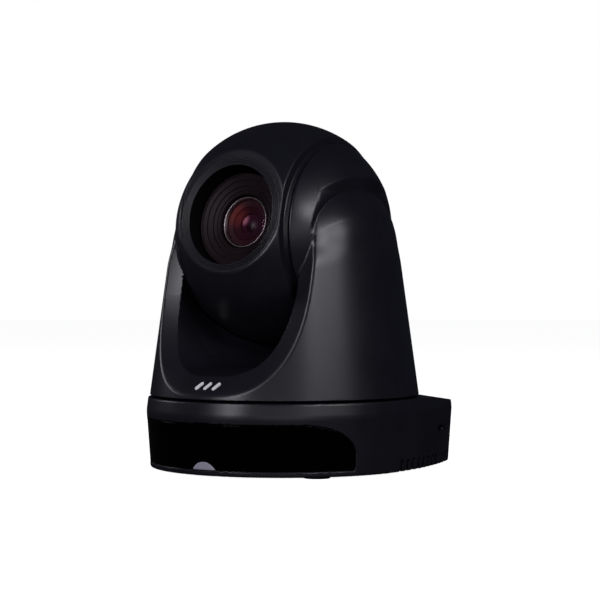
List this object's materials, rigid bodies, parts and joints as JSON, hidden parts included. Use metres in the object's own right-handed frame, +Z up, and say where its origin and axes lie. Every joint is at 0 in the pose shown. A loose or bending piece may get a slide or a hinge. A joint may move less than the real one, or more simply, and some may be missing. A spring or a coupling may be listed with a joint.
{
  "type": "ptz camera",
  "caption": "Desktop pan, tilt and zoom conference camera with a round base, a U-shaped rotor and a ball-shaped lens head that tilts between its arms.",
  "frame": {"origin": "on the pan axis, in the plane of the feet", "axes": "+Z up along the pan axis, -Y the way the lens faces, +X to the camera's left"},
  "size_m": [0.1426, 0.1463, 0.1786],
  "materials": {
    "shell_plastic": "satin, fine texture",
    "window_plastic": "polished",
    "light_pipe": "frosted",
    "sensor_dark": "smooth",
    "panel_metal": "matt",
    "port_metal": "plated",
    "jack_plastic": "smooth",
    "audio_green": "smooth",
    "board": "solder mask",
    "chips": "matt",
    "brass": "machined",
    "rubber": "matt",
    "steel": "zinc plated",
    "spindle_metal": "turned",
    "bearing_steel": "ground",
    "acetal": "moulded",
    "platform_plastic": "moulded, glass filled",
    "motor_can": "nickel plated",
    "belt_rubber": "moulded",
    "mark": "printed",
    "barrel": "satin",
    "silver": "bright cut",
    "coated_glass": "coated",
    "inner_element": "coated",
    "block": "moulded",
    "cell": "moulded with glass"
  },
  "bodies": {
    "base": {"base_housing": "shell_plastic", "base_plate": "steel", "ir_window": "window_plastic", "status_light_pipe": "light_pipe", "ir_receiver": "sensor_dark", "rear_panel": "panel_metal", "dc_jack": "jack_plastic", "hdmi_port": "port_metal", "usb_port": "port_metal", "lan_port": "port_metal", "serial_ports": "port_metal", "audio_jack": "audio_green", "main_board": "board", "board_chips": "chips", "board_standoffs": "brass", "rubber_feet": "rubber", "tripod_insert": "brass", "bracket_nuts": "steel", "base_screws": "steel", "lock_plate": "steel", "pan_deck": "steel", "pan_spindle": "spindle_metal", "pan_bearing_inner": "bearing_steel", "pan_fixed_pulley": "acetal"},
    "yoke": {"yoke_platform": "platform_plastic", "pan_bearing_outer": "bearing_steel", "pan_bearing_balls": "bearing_steel", "yoke_front_cover": "shell_plastic", "yoke_rear_cover": "shell_plastic", "left_frame": "steel", "right_frame": "steel", "pan_motor": "motor_can", "pan_motor_bracket": "steel", "pan_belt": "belt_rubber", "tilt_motor": "motor_can", "tilt_belt": "belt_rubber", "tilt_bearings": "bearing_steel", "driver_board": "board", "yoke_screws": "steel", "badge": "mark"},
    "pan_motor_shaft": {"pan_motor_pulley": "acetal"},
    "tilt_motor_shaft": {"tilt_motor_pulley": "acetal"},
    "head": {"head_upper_shell": "shell_plastic", "head_lower_shell": "shell_plastic", "lens_hood": "shell_plastic", "lens_barrel": "barrel", "lens_ring": "silver", "front_lens": "coated_glass", "inner_lens": "inner_element", "camera_block": "block", "guide_rods": "steel", "sensor_board": "board", "head_frame": "steel", "left_trunnion": "spindle_metal", "right_trunnion": "spindle_metal", "tilt_pulley": "acetal", "head_screws": "steel"},
    "zoom": {"zoom_group": "cell"},
    "focus": {"focus_group": "cell"}
  },
  "joints": [
    {"name": "pan", "type": "hinge", "parent": "base", "child": "yoke", "pos_m": [0, 0, 0.04], "axis": [0, 0, 1], "range_deg": [-170, 170]},
    {"name": "tilt", "type": "hinge", "parent": "yoke", "child": "head", "pos_m": [0, 0, 0.121], "axis": [-1, 0, 0], "range_deg": [-42.5, 77.5]},
    {"name": "pan_motor_spin", "type": "hinge", "parent": "yoke", "child": "pan_motor_shaft", "pos_m": [0.049, 0, 0.05], "axis": [0, 0, 1], "range_deg": [-640, 640]},
    {"name": "tilt_motor_spin", "type": "hinge", "parent": "yoke", "child": "tilt_motor_shaft", "pos_m": [-0.04, 0, 0.078], "axis": [-1, 0, 0], "range_deg": [-150, 265]},
    {"name": "zoom_slide", "type": "slide", "parent": "head", "child": "zoom", "axis": [0, -0.9763, 0.2164], "range_m": [-0.009, 0.014]},
    {"name": "focus_slide", "type": "slide", "parent": "head", "child": "focus", "axis": [0, -0.9763, 0.2164], "range_m": [-0.004, 0.004]}
  ],
  "couplings": [
    {"joint": "pan_motor_spin", "follows": "pan", "ratio": -3.6667},
    {"joint": "tilt_motor_spin", "follows": "tilt", "ratio": 3.3333}
  ]
}
